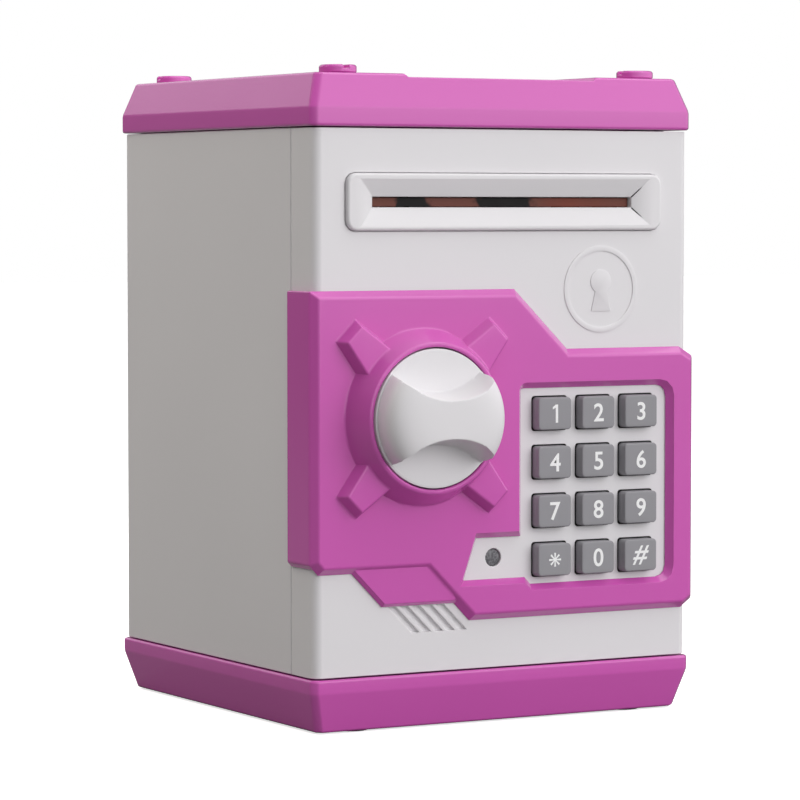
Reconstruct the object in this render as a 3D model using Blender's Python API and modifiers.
"""Toy safe coin bank with a keypad door, a dial knob that throws a lock bolt, and a banknote feeder.

The safe's frame, in millimetres: X to the viewer's right, Y to the back, Z up. X is zero in the middle
of the two caps and Z is zero on the base's underside. The door is at the front and is hinged on
the right. Every part hangs from an empty that stands on the axis of the body it moves with.
"""

import math

import bmesh
import bpy
from mathutils import Vector

MM = 0.001
OBJECT_NAME = "toy_safe_coin_bank"

# Caps: the pink base and lid, which stand proud of the white walls
CAP_WIDTH = 130.0
CAP_FRONT = -62.5
CAP_DEPTH = 128.1
CAP_BACK = CAP_FRONT + CAP_DEPTH
CAP_MIDDLE = (CAP_FRONT + CAP_BACK) / 2
HEIGHT = 190.0
BASE_HEIGHT = 15.68
BASE_BAND = 4.05
LID_HEIGHT = 15.45
LID_BAND = 5.45
CAP_TAPER = 3.3
CAP_CORNER = 1.87
CAP_FLOOR = 2.6
SEAT_GAP = 0.3
FIT_GAP = 0.15

# Walls and door
INSET = 1.0
HALF_WIDTH = CAP_WIDTH / 2 - INSET
BACK = CAP_BACK - INSET
FRONT = CAP_FRONT + INSET
WALL = 2.5
SEAM = -47.5
LID_UNDERSIDE = HEIGHT - LID_HEIGHT
DOOR_LOW = BASE_HEIGHT + 0.42
DOOR_HIGH = LID_UNDERSIDE - 0.45
HINGE_X = HALF_WIDTH - 4.0
HINGE_Y = SEAM - 4.0
PIN_RADIUS = 1.5
PIN_HOLE = 1.6
STOP_LIP = 4.5

# Trim plate on the door, with the dial collar
TRIM_FRONT = FRONT - 2.6
TRIM_SIDE = HALF_WIDTH + 1.7
TRIM_CHAMFER = 2.0
KNOB_X = -29.6
KNOB_Z = 90.65
COLLAR_BASE = 25.8
COLLAR_RIM = 21.9
COLLAR_HEIGHT = 7.9
COLLAR_TOP = TRIM_FRONT - COLLAR_HEIGHT
LUG_HEIGHT = 3.7
LUG_DRAFT = 1.6
KNOB_RADIUS = 20.15
KNOB_HOLE = 20.6
KNOB_RIM = COLLAR_TOP - 0.2
KNOB_BAR_RADIUS = 19.6
KNOB_FRONT = -82.6
DOME_POWER = 4.0
SCOOP_OFFSET = 30.5
SCOOP_FOOT = 23.0
SCOOP_CREST = 24.9
SCOOP_DROP = 0.4

# Keypad
KEY_COLUMNS = (15.05, 30.25, 45.35)
KEY_TOP_ROW = 90.5
KEY_PITCH = 14.43
KEY_WIDTH = 11.5
KEY_HEIGHT = 9.65
KEY_FRONT = FRONT - 3.5
KEY_HOLE_GAP = 0.35
LED_X = -4.2
LED_Z = 48.5

# Banknote feeder
SLOT_HALF = 44.4
SLOT_LOW = 151.35
SLOT_HIGH = 154.4
ROLLER_RADIUS = 4.6
ROLLER_Y = -47.0
DRIVE_Z = 148.1
PINCH_Z = 157.7
GEAR_TEETH = 24
PINION_TEETH = 8
GEAR_MODULE = 0.8
MOTOR_Z = DRIVE_Z - GEAR_MODULE * (GEAR_TEETH + PINION_TEETH) / 2 - 0.3
PINCH_DISCS = (-29.5, -1.5, 29.5)
DRIVE_TYRES = (-29.5, 29.5)

# Lock
CRANK_RADIUS = 6.5
CRANK_SWING = 60.0
BOLT_TRAVEL = 2 * CRANK_RADIUS * math.sin(math.radians(CRANK_SWING / 2))
BOLT_FRONT = -44.2
BOLT_BACK = -39.2
BOLT_LOW = 79.8
BOLT_HIGH = 98.6
BOLT_TIP = -54.2
PLUNGER_X = -42.0

# Door's inner cover and the battery case in it
COVER_BACK = -30.0
COVER_HALF = 54.0
COVER_LOW = 20.5
COVER_HIGH = 169.5
COVER_WALL = 2.0
DOOR_SCREWS = [(x, z) for z in (24.5, 165.2) for x in (-49.0, 49.0)]
CELL_RADIUS = 7.2
CELL_LENGTH = 50.5
CELL_LEFT = -47.2
CELL_Y = -42.0
CELL_ROWS = (39.0, 54.0, 69.0)

# Fixings on the caps
FOOT_PROUD = 0.5
FOOT_RADIUS = 5.0
FEET = [(x, y) for y in (-52.0, 53.0) for x in (-47.0, 47.0)]
BASE_SCREWS = [(x, y) for y in (-18.0, 57.0) for x in (-57.0, 57.0)]
STUD_RADIUS = 5.5
STUD_HEIGHT = 2.4
STUDS = {
    "corner_stud_front_left": (-51.0, -52.0, 90.0),
    "corner_stud_front_right": (51.0, -52.0, 0.0),
    "corner_stud_back_left": (-51.0, 55.1, 0.0),
    "corner_stud_back_right": (51.0, 55.1, 90.0),
}

# The finished object is centred in Y over its own footprint and stands on its feet at Z = 0
CENTRE_SHIFT = -(KNOB_FRONT + CAP_BACK) / 2


def collection(name, hidden=False):
    made = bpy.data.collections.new(name)
    made.hide_render = hidden
    bpy.context.scene.collection.children.link(made)
    return made


def clear_scene():
    for obj in list(bpy.data.objects):
        bpy.data.objects.remove(obj)


clear_scene()
PARTS = collection(OBJECT_NAME)
TOOLS = collection("tools", hidden=True)


def srgb(*channels):
    """Linear colour of 8-bit screen values."""
    shares = [c / 255 for c in channels]
    return [s / 12.92 if s < 0.04 else ((s + 0.055) / 1.055) ** 2.4 for s in shares] + [1.0]


def finish(name, colour, roughness, metallic=0.0):
    material = bpy.data.materials.new(name)
    material.use_nodes = True
    shader = material.node_tree.nodes["Principled BSDF"]
    shader.inputs["Base Color"].default_value = colour
    shader.inputs["Roughness"].default_value = roughness
    shader.inputs["Metallic"].default_value = metallic
    material.diffuse_color = colour
    return material


WHITE = finish("white_plastic", srgb(222, 220, 223), 0.38)
PINK = finish("pink_plastic", srgb(205, 98, 175), 0.22)
GREY = finish("key_grey", srgb(138, 138, 142), 0.45)
BLACK = finish("black_rubber", srgb(28, 27, 27), 0.7)
BROWN = finish("brown_plastic", srgb(92, 56, 46), 0.5)
STEEL = finish("steel", srgb(176, 178, 180), 0.3, 1.0)
BRASS = finish("brass", srgb(196, 164, 92), 0.3, 1.0)
GREEN = finish("board_green", srgb(36, 96, 58), 0.5)
LENS = finish("led_lens", srgb(150, 150, 152), 0.25)
WRAP = finish("cell_wrap", srgb(60, 84, 140), 0.35)


def body(name, at, parent=None):
    """An empty on the axis of one moving body, with its place in the safe's frame kept on it."""
    empty = bpy.data.objects.new(name, None)
    empty.empty_display_size = 5 * MM
    PARTS.objects.link(empty)
    empty["at"] = at
    start = Vector(parent["at"]) if parent else Vector((0, -CENTRE_SHIFT, -FOOT_PROUD))
    empty.parent = parent
    empty.location = (Vector(at) - start) * MM
    return empty


SAFE = body("safe_origin", (0.0, 0.0, 0.0))
DOOR = body("door_axis", (HINGE_X, HINGE_Y, 0.0), SAFE)


def add(name, mesh, at, turn=(0.0, 0.0, 0.0)):
    """A mesh in the safe's frame: its origin at a point in millimetres, turned by angles in degrees."""
    obj = bpy.data.objects.new(name, mesh)
    obj.rotation_euler = [math.radians(a) for a in turn]
    PARTS.objects.link(obj)
    obj.parent = SAFE
    obj.location = Vector(at) * MM
    return obj


def part(obj, material, owner=None):
    """Gives a finished part its material, and its place under the body that carries it."""
    owner = owner or SAFE
    obj.data.materials.clear()
    obj.data.materials.append(material)
    obj.location -= Vector(owner["at"]) * MM
    obj.parent = owner
    return obj


def as_mesh(name, bm, smooth=False):
    bmesh.ops.scale(bm, vec=(MM, MM, MM), verts=bm.verts)
    mesh = bpy.data.meshes.new(name)
    bm.to_mesh(mesh)
    bm.free()
    if smooth:
        mesh.shade_smooth()
        mesh.set_sharp_from_angle(angle=math.radians(35))
    return mesh


def box(name, low, high):
    """A cuboid between two corners."""
    low, high = Vector(low), Vector(high)
    bm = bmesh.new()
    bmesh.ops.create_cube(bm, size=1)
    bmesh.ops.scale(bm, vec=high - low, verts=bm.verts)
    return add(name, as_mesh(name, bm), (low + high) / 2)


AXIS_TURN = {"X": (0.0, 90.0, 0.0), "Y": (90.0, 0.0, 0.0), "Z": (0.0, 0.0, 0.0)}
AXIS_INDEX = {"X": 0, "Y": 1, "Z": 2}


def rod(name, axis, centre, low, high, radius, tip_radius=None, segments=18):
    """A cylinder or a cone along X, Y or Z. The cone's tip is at +X, at -Y or at +Z."""
    bm = bmesh.new()
    tip_radius = radius if tip_radius is None else tip_radius
    bmesh.ops.create_cone(
        bm, cap_ends=True, segments=segments, radius1=radius, radius2=tip_radius, depth=high - low
    )
    at = list(centre)
    at.insert(AXIS_INDEX[axis], (low + high) / 2)
    return add(name, as_mesh(name, bm, smooth=True), at, AXIS_TURN[axis])


def turned(name, profile, axis, at, steps=24, turn=None):
    """A turned shape. Its profile's (radius, height) points run down the outer side, top to bottom."""
    bm = bmesh.new()
    points = [bm.verts.new((radius, 0, height)) for radius, height in profile]
    for first, second in zip(points, points[1:]):
        bm.edges.new((first, second))
    obj = add(name, as_mesh(name, bm), at, turn or AXIS_TURN[axis])
    screw = obj.modifiers.new("turn", "SCREW")
    screw.axis = "Z"
    screw.steps = steps
    screw.render_steps = steps
    screw.use_merge_vertices = True
    screw.merge_threshold = 0.000001
    screw.use_smooth_shade = True
    return obj


def rounded(corners, steps=3):
    """Points of a closed outline whose corners are (a, b) or (a, b, radius). It may run either way."""
    points = []
    for index, corner in enumerate(corners):
        here = Vector(corner[:2])
        radius = corner[2] if len(corner) > 2 else 0.0
        if not radius:
            points.append(tuple(here))
            continue
        before = (Vector(corners[index - 1][:2]) - here).normalized()
        after = (Vector(corners[(index + 1) % len(corners)][:2]) - here).normalized()
        half = before.angle(after) / 2
        centre = here + (before + after).normalized() * radius / math.sin(half)
        start = here + before * radius / math.tan(half) - centre
        sweep = start.angle_signed(here + after * radius / math.tan(half) - centre)
        for step in range(steps + 1):
            angle = -sweep * step / steps
            turned_x = start.x * math.cos(angle) - start.y * math.sin(angle)
            turned_y = start.x * math.sin(angle) + start.y * math.cos(angle)
            points.append((centre.x + turned_x, centre.y + turned_y))
    return points


def rectangle(left, right, low, high, radius=0.0):
    return rounded([(left, low, radius), (right, low, radius), (right, high, radius), (left, high, radius)])


def slab(name, axis, outline, low, high, inset=0.0, depth=0.0, at=(0.0, 0.0), turn=None, near=False):
    """A flat outline drawn in XZ, XY or YZ and given a thickness along Y, Z or X.

    Its far end (-Y, +Z or +X) may be drawn in by an inset over a depth, which bevels that rim.
    With near set, the other end is drawn in instead.
    """
    curve = bpy.data.curves.new(name, "CURVE")
    curve.dimensions = "2D"
    curve.fill_mode = "BOTH"
    curve.extrude = (high - low - depth) / 2
    spline = curve.splines.new("POLY")
    spline.points.add(len(outline) - 1)
    for point, (a, b) in zip(spline.points, outline):
        point.co = (a, b, 0, 1)
    spline.use_cyclic_u = True
    drawn = bpy.data.objects.new(name, curve)
    bpy.context.scene.collection.objects.link(drawn)
    graph = bpy.context.evaluated_depsgraph_get()
    flat = bpy.data.meshes.new_from_object(drawn.evaluated_get(graph))
    bpy.data.objects.remove(drawn)
    bm = bmesh.new()
    bm.from_mesh(flat)
    bpy.data.meshes.remove(flat)
    bmesh.ops.remove_doubles(bm, verts=bm.verts, dist=0.001)
    bmesh.ops.dissolve_limit(bm, angle_limit=0.001, verts=bm.verts, edges=bm.edges)
    bmesh.ops.recalc_face_normals(bm, faces=bm.faces)
    way = -1 if near else 1
    if inset:
        cap = max(bm.faces, key=lambda face: way * face.calc_center_median().z)
        bmesh.ops.inset_region(bm, faces=[cap], thickness=inset, depth=depth, use_even_offset=True)
    middle = (low + high) / 2
    shift = -way * depth / 2
    bmesh.ops.translate(bm, vec=(0, 0, shift), verts=bm.verts)
    place = list(at)
    place.insert(AXIS_INDEX[axis], middle)
    return add(name, as_mesh(name, bm), place, turn or AXIS_TURN[axis])


def use_tool(target, tool, operation):
    PARTS.objects.unlink(tool)
    TOOLS.objects.link(tool)
    tool.hide_render = True
    tool.display_type = "WIRE"
    boolean = target.modifiers.new(tool.name, "BOOLEAN")
    boolean.operation = operation
    boolean.object = tool


def cut(target, *tools):
    for tool in tools:
        use_tool(target, tool, "DIFFERENCE")


def join(target, *tools):
    for tool in tools:
        use_tool(target, tool, "UNION")


def bevel(obj, width, segments=1, angle=40.0):
    modifier = obj.modifiers.new("edges", "BEVEL")
    modifier.width = width * MM
    modifier.segments = segments
    modifier.limit_method = "ANGLE"
    modifier.angle_limit = math.radians(angle)


def cap_block(name, band_low, band_high, taper_to):
    """One cap's outer shape: a straight band with cut corners, and a taper from it up or down."""
    bm = bmesh.new()
    bmesh.ops.create_cube(bm, size=1)
    size = Vector((CAP_WIDTH, CAP_DEPTH, band_high - band_low))
    bmesh.ops.scale(bm, vec=size, verts=bm.verts)
    uprights = [e for e in bm.edges if abs(e.verts[0].co.z - e.verts[1].co.z) > 1]
    bmesh.ops.bevel(bm, geom=uprights, offset=CAP_CORNER, segments=1, affect="EDGES")
    way = 1 if taper_to > band_high else -1
    face = max(bm.faces, key=lambda f: way * f.calc_center_median().z)
    grown = bmesh.ops.extrude_face_region(bm, geom=[face])["geom"]
    bmesh.ops.delete(bm, geom=[face], context="FACES_ONLY")
    rim = [v for v in grown if isinstance(v, bmesh.types.BMVert)]
    reach = taper_to - (band_high if way > 0 else band_low)
    bmesh.ops.translate(bm, vec=(0, 0, reach), verts=rim)
    shrink = (1 - 2 * CAP_TAPER / CAP_WIDTH, 1 - 2 * CAP_TAPER / CAP_DEPTH, 1)
    bmesh.ops.scale(bm, vec=shrink, verts=rim)
    bmesh.ops.recalc_face_normals(bm, faces=bm.faces)
    return add(name, as_mesh(name, bm), (0, CAP_MIDDLE, (band_low + band_high) / 2))


INNER_X = HALF_WIDTH - WALL - 2.0
INNER_BACK = BACK - WALL - 2.0
SILL = SEAM + 3.5


def make_base():
    base = cap_block("bottom_cover", BASE_HEIGHT - BASE_BAND, BASE_HEIGHT, 0.0)
    bevel(base, 0.5, 1, 10)
    cut(base, box("base_tray", (-INNER_X, SILL, CAP_FLOOR), (INNER_X, INNER_BACK, 20)))
    cut(base, box("base_sill_hollow", (-38, FRONT + 5, -1), (38, SEAM, 13)))
    for index, (x, y) in enumerate(BASE_SCREWS):
        join(base, box(f"base_post_{index}", (x - 4.5, y - 4.4, 1), (x + 4.5, y + 4.4, 15.4)))
    for index, (x, y) in enumerate(BASE_SCREWS):
        cut(base, rod(f"base_screw_hole_{index}", "Z", (x, y), -1, 20, 1.75, segments=10))
        cut(base, rod(f"base_screw_sink_{index}", "Z", (x, y), -1, 4, 3.2, segments=14))
    for index, (x, y) in enumerate(FEET):
        cut(base, rod(f"foot_pocket_{index}", "Z", (x, y), -1, 1.2, FOOT_RADIUS + 0.2))
    cut(base, rod("base_pin_hole", "Z", (HINGE_X, HINGE_Y), 7, 20, PIN_HOLE, segments=18))
    part(base, PINK)


def make_lid():
    lid = cap_block("top_cover", LID_UNDERSIDE, LID_UNDERSIDE + LID_BAND, HEIGHT)
    bevel(lid, 0.5, 1, 10)
    ceiling = HEIGHT - CAP_FLOOR - 0.2
    cut(lid, box("lid_hollow", (-INNER_X, SILL, 170), (INNER_X, INNER_BACK, ceiling)))
    cut(lid, box("lid_front_hollow", (-57, FRONT + 4.5, 170), (50, SEAM, ceiling)))
    half = 31.75
    recess = [(-half, HEIGHT - 1), (half, HEIGHT - 1), (half + 2, HEIGHT + 1), (-half - 2, HEIGHT + 1)]
    cut(lid, slab("lid_recess", "Y", recess, -CAP_DEPTH, CAP_DEPTH))
    cut(lid, slab("coin_slot", "Z", rectangle(-18, 18, -2.5, 2.5, 2.0), 180, 195))
    for name, (x, y, _) in STUDS.items():
        cut(lid, rod(f"{name}_hole", "Z", (x, y), 180, 195, 2.2, segments=14))
    cut(lid, rod("lid_pin_hole", "Z", (HINGE_X, HINGE_Y), 170, 183, PIN_HOLE, segments=18))
    part(lid, PINK)


def make_studs():
    """Slotted screw-head caps on the lid's corners, each on a stem through the lid."""
    for name, (x, y, slot_turn) in STUDS.items():
        low = HEIGHT + FIT_GAP
        top = HEIGHT + STUD_HEIGHT
        profile = [(0, top), (STUD_RADIUS - 0.5, top), (STUD_RADIUS, top - 0.5)]
        profile += [(STUD_RADIUS, low), (2.0, low), (2.0, 184), (0, 184)]
        stud = turned(name, profile, "Z", (x, y, 0), 20, (0, 0, 0))
        slot = box(f"{name}_slot", (-7, -0.9, top - 1.2), (7, 0.9, top + 1))
        slot.location += Vector((x, y, 0)) * MM
        slot.rotation_euler.z = math.radians(slot_turn)
        cut(stud, slot)
        part(stud, PINK)


def make_feet():
    for index, (x, y) in enumerate(FEET):
        foot = rod(f"rubber_foot_{index + 1}", "Z", (x, y), -FOOT_PROUD, 1.0, FOOT_RADIUS, segments=20)
        part(foot, BLACK)


def pan_screw(name, head_radius, head, shank_radius, length, at, turn):
    """A self-tapping screw whose head is on local +Z, with the shank's start at the origin."""
    profile = [(0, head), (head_radius - 0.6, head), (head_radius, head - 0.7), (head_radius, 0)]
    profile += [(shank_radius, 0), (shank_radius, 2.0 - length), (0, -length)]
    screw = turned(name, profile, "Z", at, 12, turn)
    for index, angle in enumerate((0, 90)):
        drive = box(f"{name}_cross_{index}", (-1.7, -0.4, head - 1.1), (1.7, 0.4, head + 1))
        drive.parent = screw
        drive.rotation_euler.z = math.radians(angle)
        cut(screw, drive)
    return screw


def make_base_screws():
    for index, (x, y) in enumerate(BASE_SCREWS):
        at = (x, y, 3.9)
        part(pan_screw(f"base_screw_{index + 1}", 2.9, 2.1, 1.45, 27, at, (180, 0, 0)), STEEL)


def make_shell():
    """The safe's three fixed walls in one moulding, with the lip that the bolt and the door close on."""
    edge = SEAM + SEAT_GAP
    lip = edge + WALL
    inner = HALF_WIDTH - WALL
    inner_back = BACK - WALL
    walls = rounded(
        [
            (-HALF_WIDTH, edge),
            (-inner + STOP_LIP, edge),
            (-inner + STOP_LIP, lip),
            (-inner, lip),
            (-inner, inner_back),
            (inner, inner_back),
            (inner, lip),
            (inner - 3.0, lip),
            (inner - 3.0, edge),
            (HALF_WIDTH, edge),
            (HALF_WIDTH, BACK, 3.0),
            (-HALF_WIDTH, BACK, 3.0),
        ]
    )
    low = BASE_HEIGHT + SEAT_GAP
    shell = slab("body_shell", "Z", walls, low, LID_UNDERSIDE - SEAT_GAP)
    for index, (x, y) in enumerate(BASE_SCREWS):
        side = math.copysign(1, x)
        near, far = sorted((side * 53.0, side * (inner + 0.6)))
        back = y + 5.4 if y > 0 else y + 4
        join(shell, box(f"shell_boss_{index}", (near, y - 4, low + 0.1), (far, back, 40)))
    for index, (x, y) in enumerate(BASE_SCREWS):
        cut(shell, rod(f"shell_pilot_{index}", "Z", (x, y), 10, 35, 1.65, segments=10))
    part(shell, WHITE)


def make_hinge_pins():
    for name, low, high in (("hinge_pin_bottom", 7.4, 25), ("hinge_pin_top", 165, 182.6)):
        pin = rod(name, "Z", (HINGE_X, HINGE_Y), low, high, PIN_RADIUS, segments=18)
        bevel(pin, 0.3)
        part(pin, STEEL)


def key_places():
    """Each key's name and centre, row by row from the top."""
    labels = (("1", "2", "3"), ("4", "5", "6"), ("7", "8", "9"), ("star", "0", "hash"))
    for row, names in enumerate(labels):
        for column, label in enumerate(names):
            yield f"key_{label}", KEY_COLUMNS[column], KEY_TOP_ROW - row * KEY_PITCH


def make_door_panel():
    plan = rounded(
        [
            (-HALF_WIDTH, FRONT, 2.75),
            (HALF_WIDTH, FRONT, 2.75),
            (HALF_WIDTH, SEAM, HALF_WIDTH - HINGE_X),
            (-HALF_WIDTH, SEAM, 0.4),
        ],
        steps=5,
    )
    panel = slab("door_panel", "Z", plan, DOOR_LOW, DOOR_HIGH)
    inside = FRONT + WALL
    low = (-HALF_WIDTH + WALL, inside, DOOR_LOW + WALL)
    cut(panel, box("door_hollow", low, (HINGE_X - 2.5, SEAM + 1, DOOR_HIGH - WALL)))
    for index, (x, z) in enumerate(DOOR_SCREWS):
        join(panel, rod(f"door_boss_{index}", "Y", (x, z), inside - 0.7, -50.2, 3.2, segments=18))
    for index, (x, z) in enumerate(DOOR_SCREWS):
        cut(panel, rod(f"door_pilot_{index}", "Y", (x, z), inside + 0.3, -49, 1.65, segments=10))
    cut(panel, slab("bezel_pocket", "Y", rectangle(-53.9, 53.9, 144.4, 161.4, 3.2), FRONT - 1, FRONT + 1))
    cut(panel, box("bezel_window", (-46.8, FRONT - 1, 149.3), (46.8, inside + 1, 156.5)))
    cut(panel, rod("shaft_hole", "Y", (KNOB_X, KNOB_Z), FRONT - 1, inside + 1, 5.2))
    cut(panel, rod("led_hole", "Y", (LED_X, LED_Z), FRONT - 1, inside + 1, 2.7, segments=18))
    width = KEY_WIDTH / 2 + KEY_HOLE_GAP
    height = KEY_HEIGHT / 2 + KEY_HOLE_GAP
    for name, x, z in key_places():
        hole = rectangle(x - width, x + width, z - height, z + height, 0.9)
        cut(panel, slab(f"{name}_hole", "Y", hole, FRONT - 1, inside + 1))
    for index in range(5):
        right = -29.3 + index * 4.0
        top = right - 9.0
        groove = [(right, 27.8), (top, 36.8), (top - 2.6, 36.8), (right - 2.6, 27.8)]
        cut(panel, slab(f"vent_groove_{index}", "Y", groove, FRONT - 1, FRONT + 1.1))
    pin_holes = {"low_pin_hole": (DOOR_LOW - 1, 26), "high_pin_hole": (164, DOOR_HIGH + 1)}
    for name, (start, end) in pin_holes.items():
        cut(panel, rod(name, "Z", (HINGE_X, HINGE_Y), start, end, PIN_HOLE, segments=18))
    part(panel, WHITE, DOOR)


def make_bezel():
    """The frame round the banknote slot, with a funnel in its face and a throat through the door."""
    front = FRONT - 1.5
    plate = rectangle(-53.7, 53.7, 144.6, 161.2, 3.0)
    bezel = slab("bill_slot_bezel", "Y", plate, front, FRONT + 0.8, 0.5, 0.5)
    join(bezel, box("bezel_throat", (-46.5, FRONT + 0.3, 149.6), (46.5, -52.5, 156.2)))
    mouth = rectangle(-49.5, 49.5, 146.1, 159.6)
    cut(bezel, slab("bezel_funnel", "Y", mouth, front - 0.5, front + 2.4, 5.0, 2.4, near=True))
    cut(bezel, box("bezel_slot", (-SLOT_HALF, front - 1, SLOT_LOW), (SLOT_HALF, -50, SLOT_HIGH)))
    part(bezel, WHITE, DOOR)


def make_trim():
    """The pink plate round the dial and the keypad, wrapped over both edges of the door."""
    main = [
        (-TRIM_SIDE, 127.4),
        (2.7, 127.4),
        (21.0, 109.5),
        (60.8, 109.5),
        (TRIM_SIDE, 106.6),
        (TRIM_SIDE, 33.2),
        (61.8, 30.4),
        (-12.6, 30.4),
        (-27.8, 45.9),
        (-62.9, 45.9),
        (-TRIM_SIDE, 49.0),
    ]
    trim = slab("door_trim", "Y", main, TRIM_FRONT, -48.0, TRIM_CHAMFER, 2.4)
    step = [(-52.5, 46.5), (-42.0, 35.8), (-16.0, 35.8), (-25.0, 50.0), (-52.0, 50.0)]
    join(trim, slab("trim_step", "Y", step, TRIM_FRONT + 1.0, FRONT + 0.4, 1.0, 1.2))
    at = (KNOB_X, KNOB_Z)
    slope = (COLLAR_BASE - COLLAR_RIM) / COLLAR_HEIGHT
    collar_root = COLLAR_BASE + slope
    collar = rod("collar", "Y", at, COLLAR_TOP, TRIM_FRONT + 1, collar_root, COLLAR_RIM, 48)
    join(trim, collar)
    lug = [(20.0, 7.3), (36.0, 4.6), (36.0, -4.6), (20.0, -7.3)]
    for index in range(4):
        along = Vector((math.cos(math.radians(45 + 90 * index)), math.sin(math.radians(45 + 90 * index))))
        outline = [(a * along.x - b * along.y, a * along.y + b * along.x) for a, b in lug]
        top = TRIM_FRONT - LUG_HEIGHT
        join(trim, slab(f"lug_{index}", "Y", outline, top, TRIM_FRONT + 0.9, LUG_DRAFT, LUG_HEIGHT, at))
    cut(trim, rod("dial_hole", "Y", at, COLLAR_TOP - 2, FRONT + 2, KNOB_HOLE, segments=48))
    cut(trim, box("door_room", (-64.15, FRONT - FIT_GAP, 0), (64.15, 0, 190)))
    cut(trim, box("hinge_room", (61, -57.5, -5), (80, 10, 195)))
    window = rounded(
        [
            (3.2, 99.8, 2.3),
            (57.7, 99.8, 5.0),
            (57.7, 38.5, 5.0),
            (7.6, 38.5),
            (5.6, 40.6),
            (-16.9, 40.6),
            (-11.5, 56.1),
            (3.2, 56.1),
        ]
    )
    window_tool = slab("keypad_window", "Y", window, TRIM_FRONT - 0.01, FRONT, 2.0, 2.45, near=True)
    cut(trim, window_tool)
    part(trim, PINK, DOOR)


def make_keys():
    """Twelve keys, each with a flange behind the panel that keeps it in its hole."""
    for name, x, z in key_places():
        axis = body(f"{name}_axis", (x, KEY_FRONT, z), DOOR)
        width = KEY_WIDTH / 2
        height = KEY_HEIGHT / 2
        face = rectangle(-width, width, -height, height, 0.8)
        key = slab(name, "Y", face, KEY_FRONT, -57.9, 0.45, 0.5, (x, z))
        flange = slab(f"{name}_flange", "Y", rectangle(-6.6, 6.6, -5.7, 5.7, 0.8), -58.7, -57.7)
        flange.location += Vector((x, 0, z)) * MM
        join(key, flange)
        part(key, GREY, axis)


def make_knob():
    """The dial knob: a dome with a grip bar between two scoops, on a shaft through the door."""
    axis = body("knob_axis", (KNOB_X, TRIM_FRONT, KNOB_Z), DOOR)
    rise = KNOB_RIM - KNOB_FRONT
    dome = []
    for step in range(9):
        across = math.sin(math.radians(90 * step / 8)) ** (2 / DOME_POWER)
        up = math.cos(math.radians(90 * step / 8)) ** (2 / DOME_POWER)
        dome.append((KNOB_BAR_RADIUS * across, rise * up - KNOB_RIM))
    skirt = -FRONT + 0.6
    profile = dome + [(KNOB_RADIUS, -KNOB_RIM), (KNOB_RADIUS, skirt), (18.3, skirt), (18.3, 68.6)]
    profile += [(7.5, 68.6), (7.5, skirt), (5.0, skirt), (5.0, 50.8), (2.5, 50.8), (2.5, 46.3), (0, 46.3)]
    knob = turned("door_knob", profile, "Y", (KNOB_X, 0, KNOB_Z), 48)
    slope = (SCOOP_CREST - SCOOP_FOOT) / rise
    floor = -KNOB_RIM - SCOOP_DROP
    mouth = -KNOB_FRONT + 6.0
    wall = SCOOP_FOOT + slope * (mouth - floor)
    tool = [(0, mouth), (wall, mouth), (SCOOP_FOOT, floor), (0, floor)]
    for side in (-1, 1):
        centre = (KNOB_X, 0, KNOB_Z + side * SCOOP_OFFSET)
        cut(knob, turned(f"scoop_{side}", tool, "Y", centre, 48))
    part(knob, WHITE, axis)
    crank = rod("knob_crank", "Y", (KNOB_X, KNOB_Z), -50.4, -45.4, 9.0)
    half = math.radians(CRANK_SWING / 2)
    pin_x = KNOB_X + CRANK_RADIUS * math.sin(half)
    pin_z = KNOB_Z - CRANK_RADIUS * math.cos(half)
    join(crank, rod("crank_pin", "Y", (pin_x, pin_z), -46, -39.8, 1.6, segments=14))
    cut(crank, rod("crank_bore", "Y", (KNOB_X, KNOB_Z), -52, -44, 2.7, segments=18))
    part(crank, BROWN, axis)


def make_lock():
    bolt_axis = body("bolt_axis", (BOLT_TIP, BOLT_FRONT, KNOB_Z), DOOR)
    bolt = box("lock_bolt", (BOLT_TIP, BOLT_FRONT, BOLT_LOW), (-19, BOLT_BACK, BOLT_HIGH))
    bevel(bolt, 0.5)
    yoke = KNOB_X + CRANK_RADIUS * math.sin(math.radians(CRANK_SWING / 2))
    cut(bolt, box("yoke_slot", (yoke - 1.95, -46, 81.8), (yoke + 1.95, -37, 87.4)))
    for index, x in enumerate((PLUNGER_X, PLUNGER_X + BOLT_TRAVEL)):
        cut(bolt, box(f"bolt_notch_{index}", (x - 2.4, -46, 93.4), (x + 2.4, -37, 101)))
    part(bolt, WHITE, bolt_axis)
    middle = (BOLT_FRONT + BOLT_BACK) / 2
    coil = box("lock_solenoid", (PLUNGER_X - 7, -47.2, 102), (PLUNGER_X + 7, -36.2, 126))
    bevel(coil, 0.6)
    cut(coil, rod("solenoid_bore", "Z", (PLUNGER_X, middle), 100, 123, 2.3, segments=14))
    part(coil, STEEL, DOOR)
    plunger_axis = body("plunger_axis", (PLUNGER_X, middle, 99), DOOR)
    plunger = rod("solenoid_plunger", "Z", (PLUNGER_X, middle), 99, 120, 2.0, segments=14)
    bevel(plunger, 0.4)
    part(plunger, STEEL, plunger_axis)


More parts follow.
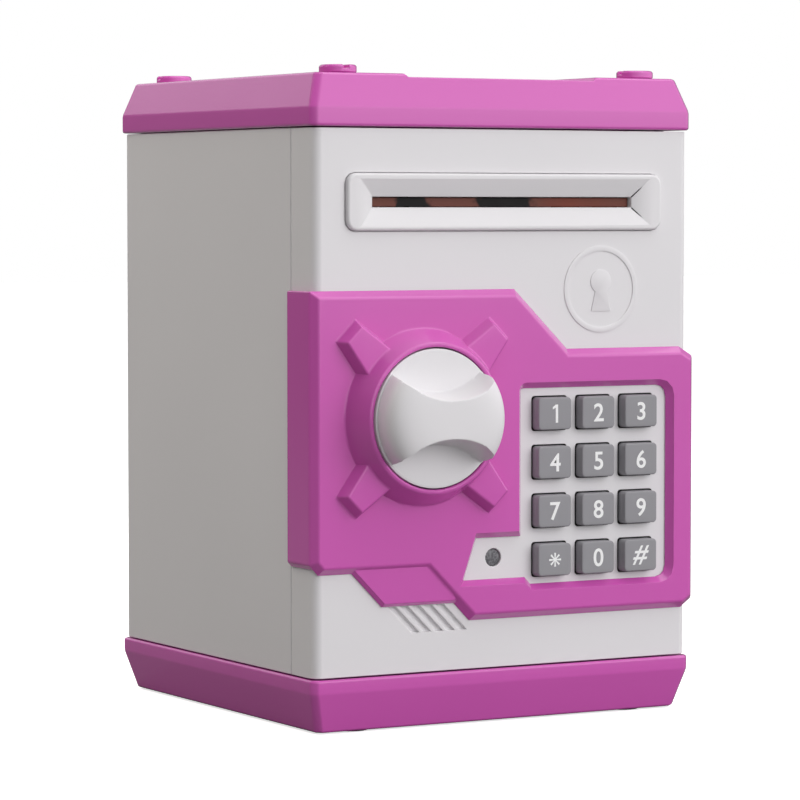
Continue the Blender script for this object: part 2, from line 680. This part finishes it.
def make_door_cover():
    """The inner cover on the door's back, which holds the works and the battery case."""
    flange_low = (-HALF_WIDTH + WALL + SEAT_GAP, -49.5, DOOR_LOW + WALL + SEAT_GAP)
    flange_high = (HINGE_X - 2.8, SEAM, DOOR_HIGH - WALL - SEAT_GAP)
    cover = box("door_back_cover", flange_low, flange_high)
    tray = box("cover_tray", (-COVER_HALF, -49, COVER_LOW), (COVER_HALF, COVER_BACK, COVER_HIGH))
    bevel(tray, 1.0)
    join(cover, tray)
    inner = COVER_HALF - COVER_WALL
    low = (-inner, -60, COVER_LOW + COVER_WALL)
    cut(cover, box("cover_hollow", low, (inner, COVER_BACK - COVER_WALL, COVER_HIGH - COVER_WALL)))
    join(cover, box("battery_case", (-52.5, -51, 30), (8.5, -31, 78)))
    for index, (x, z) in enumerate(DOOR_SCREWS):
        join(cover, rod(f"cover_boss_{index}", "Y", (x, z), -49.8, -31, 3.3, segments=18))
    cut(cover, box("battery_room", (-51, -49.5, 31.5), (7, -20, 76.5)))
    cut(cover, box("battery_cover_seat", (-53, -31.2, 29.5), (9, -20, 78.5)))
    cut(cover, box("note_exit", (-45, -35, 149.4), (45, -25, 156.4)))
    cut(cover, box("bolt_window", (-60, -44.8, 79.2), (-50, -38.6, 99.2)))
    for index, (x, z) in enumerate(DOOR_SCREWS):
        cut(cover, rod(f"cover_screw_hole_{index}", "Y", (x, z), -55, -25, 1.7, segments=10))
        cut(cover, rod(f"cover_screw_sink_{index}", "Y", (x, z), -31.8, -25, 2.8, segments=14))
    part(cover, WHITE, DOOR)
    for index, (x, z) in enumerate(DOOR_SCREWS):
        at = (x, -31.65, z)
        part(pan_screw(f"door_screw_{index + 1}", 2.5, 1.3, 1.45, 25.5, at, (-90, 0, 0)), STEEL, DOOR)


def make_battery_cover():
    axis = body("battery_cover_axis", (-22, COVER_BACK, 54), DOOR)
    lid = box("battery_cover", (-52.7, -31.0, 29.8), (8.7, COVER_BACK, 78.2))
    join(lid, box("battery_cover_tab", (-28, -30.5, 73), (-16, -28.6, 76.5)))
    part(lid, WHITE, axis)


def make_batteries():
    """Three AA cells side by side, laid head to tail, between two sprung contact strips."""
    for index, z in enumerate(CELL_ROWS):
        profile = [(0, 50.5), (2.6, 50.5), (2.6, 49.1), (6.4, 49.1), (CELL_RADIUS, 48.2)]
        profile += [(CELL_RADIUS, 0.5), (6.6, 0), (0, 0)]
        if index % 2:
            at, turn = (CELL_LEFT + CELL_LENGTH, CELL_Y, z), (0, -90, 0)
        else:
            at, turn = (CELL_LEFT, CELL_Y, z), (0, 90, 0)
        part(turned(f"battery_{index + 1}", profile, "X", at, 18, turn), WRAP, DOOR)
    strips = {"battery_contact_left": (-50.7, -50.2), "battery_contact_right": (6.2, 6.7)}
    for name, (near, far) in strips.items():
        strip = box(name, (near, -48, 33), (far, -36, 75))
        left = near < 0
        start, end = (near + 0.2, CELL_LEFT - 0.3) if left else (CELL_LEFT + CELL_LENGTH + 0.3, far - 0.2)
        for index, z in enumerate(CELL_ROWS):
            wide, narrow = (4.5, 2.8) if left else (2.8, 4.5)
            coil = rod(f"{name}_spring_{index}", "X", (CELL_Y, z), start, end, wide, narrow, 12)
            join(strip, coil)
        part(strip, BRASS, DOOR)


def make_electronics():
    board = box("control_board", (-10, -54.5, 41), (54, -52.9, 98))
    join(board, box("board_chip", (24, -53.2, 62), (36, -51.4, 74)))
    join(board, box("board_socket", (12, -53.2, 84), (22, -50.6, 89)))
    part(board, GREEN, DOOR)
    membrane = slab("keypad_membrane", "Y", rectangle(6, 54, 40.6, 97.6, 2), -56.2, -54.9)
    part(membrane, BLACK, DOOR)
    profile = [(0, 61.2), (1.6, 61.0), (2.5, 60.2), (2.5, 57.4), (2.95, 57.4), (2.95, 54.9), (0, 54.9)]
    part(turned("status_led", profile, "Y", (LED_X, 0, LED_Z), 18), LENS, DOOR)
    profile = [(0, 57.2), (4.0, 57.2), (9.0, 58.6), (11.5, 58.6), (11.5, 55.8), (7.0, 54.6)]
    profile += [(7.0, 52.0), (0, 52.0)]
    part(turned("speaker", profile, "Y", (-27, 0, 33), 20), STEEL, DOOR)


def gear_outline(teeth, phase):
    """A spur gear's outline with slim teeth, which keeps backlash in the mesh."""
    pitch_radius = GEAR_MODULE * teeth / 2
    step = 2 * math.pi / teeth
    flank = (
        (pitch_radius - 1.2 * GEAR_MODULE, 0.26),
        (pitch_radius, 0.19),
        (pitch_radius + 0.85 * GEAR_MODULE, 0.09),
    )
    points = []
    for tooth in range(teeth):
        middle = tooth * step + math.radians(phase)
        rise = [(radius, middle - share * step) for radius, share in flank]
        fall = [(radius, middle + share * step) for radius, share in reversed(flank)]
        points += [(r * math.cos(a), r * math.sin(a)) for r, a in rise + fall]
    return points


def make_feeder():
    """Motor, gears and rollers that draw a banknote from the slot into the safe."""
    frame = box("feeder_frame", (46, -52.2, 127), (47.8, -36, 161.5))
    join(frame, box("frame_low_guide", (-46.5, -52.2, 149.6), (46.5, -33, 150.9)))
    join(frame, box("frame_high_guide", (-46.5, -52.2, 154.9), (46.5, -33, 156.2)))
    join(frame, box("frame_left_plate", (-47.8, -52.2, 143), (-46, -36, 161.5)))
    for index, x in enumerate(DRIVE_TYRES):
        cut(frame, box(f"tyre_window_{index}", (x - 4.2, -52, 148), (x + 4.2, -42, 152)))
    for index, x in enumerate(PINCH_DISCS):
        cut(frame, box(f"disc_window_{index}", (x - 3.6, -52, 153), (x + 3.6, -42, 158)))
    for index, (z, start) in enumerate(((DRIVE_Z, -50), (PINCH_Z, -50), (MOTOR_Z, 40))):
        cut(frame, rod(f"frame_bearing_{index}", "X", (ROLLER_Y, z), start, 50, PIN_HOLE, segments=18))
    part(frame, BROWN, DOOR)
    motor = rod("feeder_motor", "X", (ROLLER_Y, MOTOR_Z), 19, 43.6, 7.0, segments=20)
    bevel(motor, 0.6)
    join(motor, rod("motor_nose", "X", (ROLLER_Y, MOTOR_Z), 43, 45.2, 3.0, segments=14))
    cut(motor, rod("motor_bore", "X", (ROLLER_Y, MOTOR_Z), 41, 46, 1.2, segments=10))
    part(motor, STEEL, DOOR)
    drive = body("drive_axis", (0, ROLLER_Y, DRIVE_Z), DOOR)
    shaft = rod("drive_shaft", "X", (ROLLER_Y, DRIVE_Z), -47.6, 51.4, PIN_RADIUS, segments=18)
    part(shaft, STEEL, drive)
    at = (ROLLER_Y, DRIVE_Z)
    gear = slab("drive_gear", "X", gear_outline(GEAR_TEETH, 0), 48.2, 51.2, at=at)
    cut(gear, rod("gear_bore", "X", at, 45, 55, PIN_HOLE, segments=18))
    part(gear, WHITE, drive)
    for name, x in zip(("drive_tyre_left", "drive_tyre_right"), DRIVE_TYRES):
        tyre = rod(name, "X", at, x - 3.5, x + 3.5, ROLLER_RADIUS, segments=20)
        bevel(tyre, 0.4)
        cut(tyre, rod(f"{name}_bore", "X", at, x - 5, x + 5, PIN_HOLE, segments=18))
        part(tyre, BLACK, drive)
    pinch = body("pinch_axis", (0, ROLLER_Y, PINCH_Z), DOOR)
    at = (ROLLER_Y, PINCH_Z)
    roller = rod("pinch_roller", "X", at, -47.6, 47.6, PIN_RADIUS, segments=20)
    for index, x in enumerate(PINCH_DISCS):
        join(roller, rod(f"pinch_disc_{index}", "X", at, x - 3, x + 3, ROLLER_RADIUS, segments=20))
    part(roller, BLACK, pinch)
    pinion_axis = body("pinion_axis", (0, ROLLER_Y, MOTOR_Z), DOOR)
    at = (ROLLER_Y, MOTOR_Z)
    pinion = slab("motor_pinion", "X", gear_outline(PINION_TEETH, 22.5), 48.2, 51.2, at=at)
    join(pinion, rod("motor_shaft", "X", at, 41.3, 50, 1.0, segments=10))
    part(pinion, WHITE, pinion_axis)


make_base()
make_lid()
make_studs()
make_feet()
make_base_screws()
make_shell()
make_hinge_pins()
make_door_panel()
make_bezel()
make_trim()
make_keys()
make_knob()
make_lock()
make_door_cover()
make_battery_cover()
make_batteries()
make_electronics()
make_feeder()
